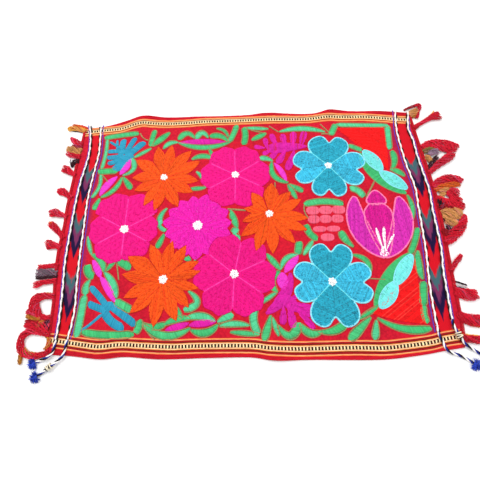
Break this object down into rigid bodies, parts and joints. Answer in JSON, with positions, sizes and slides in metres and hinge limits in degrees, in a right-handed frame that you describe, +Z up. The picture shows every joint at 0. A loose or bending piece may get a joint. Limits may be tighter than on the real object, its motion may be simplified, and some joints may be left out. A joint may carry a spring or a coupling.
{
  "type": "embroidered placemat",
  "caption": "Flat rectangular embroidered cloth placemat with flower and leaf embroidery, couched cords along the short ends, and a tied fringe.",
  "frame": {"origin": "on the underside, midway between the two inner cords and between the two patterned selvedges", "axes": "+X along the length of the mat to the viewer's right, +Y from the near long edge to the far one, +Z up"},
  "size_m": [0.4992, 0.3217, 0.0092],
  "materials": {
    "ground_cloth": "red hand-woven cotton covered with satin stitch flowers and leaves, striped selvedges",
    "fringe_yarn": "twisted red, gold and black yarn ends",
    "twisted_cord": "white and black plied cord",
    "tuft_yarn": "fluffy blue yarn ends",
    "knot_yarn": "cream yarn tied round the cord"
  },
  "bodies": {
    "root": {"ground_cloth": "ground_cloth", "fringe_left": "fringe_yarn", "fringe_right": "fringe_yarn", "couched_cord_left_outer": "twisted_cord", "couched_cord_left_inner": "twisted_cord", "couched_cord_right_inner": "twisted_cord", "couched_cord_right_outer": "twisted_cord", "cord_tail_left_outer": "twisted_cord", "cord_tail_left_inner": "twisted_cord", "cord_tail_right_inner": "twisted_cord", "cord_tail_right_outer": "twisted_cord", "end_tuft_left_outer": "tuft_yarn", "end_tuft_left_inner": "tuft_yarn", "end_tuft_right_inner": "tuft_yarn", "end_tuft_right_outer": "tuft_yarn", "knot_left_inner": "knot_yarn", "knot_right_outer": "knot_yarn"}
  },
  "joints": []
}
